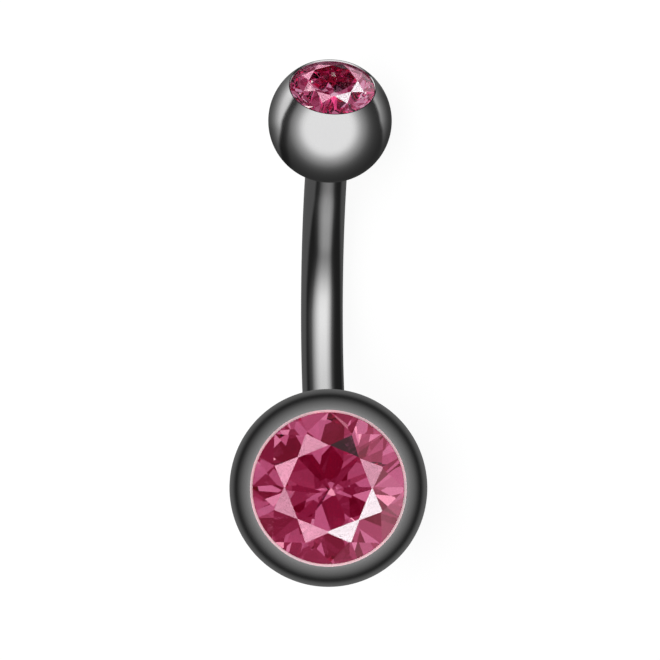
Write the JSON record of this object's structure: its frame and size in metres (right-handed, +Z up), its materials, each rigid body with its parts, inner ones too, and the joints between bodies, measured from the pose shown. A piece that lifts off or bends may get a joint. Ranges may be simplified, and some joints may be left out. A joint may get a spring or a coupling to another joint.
{
  "type": "navel ring",
  "caption": "Curved barbell navel ring in polished black steel, with a large jewelled ball fixed at its lower end and a small jewelled ball that screws onto its upper end.",
  "frame": {"origin": "centre of the bounding box's base, on the level surface that the ring rests on", "axes": "+X from the large lower ball to the small upper ball, +Z up from the surface, the lower stone faces -Y and +Z"},
  "size_m": [0.0212, 0.0082, 0.008],
  "materials": {
    "black_steel": "polished black coating on surgical steel",
    "pink_stone": "cut and polished"
  },
  "bodies": {
    "bar": {"curved_bar": "black_steel", "lower_ball": "black_steel", "lower_stone": "pink_stone"},
    "screw_on_ball": {"upper_ball": "black_steel", "upper_stone": "pink_stone"}
  },
  "joints": [
    {"name": "upper_ball_unscrew", "type": "slide", "parent": "bar", "child": "screw_on_ball", "axis": [0.7937, -0.4996, 0.347], "range_m": [0, 0.0045]}
  ]
}
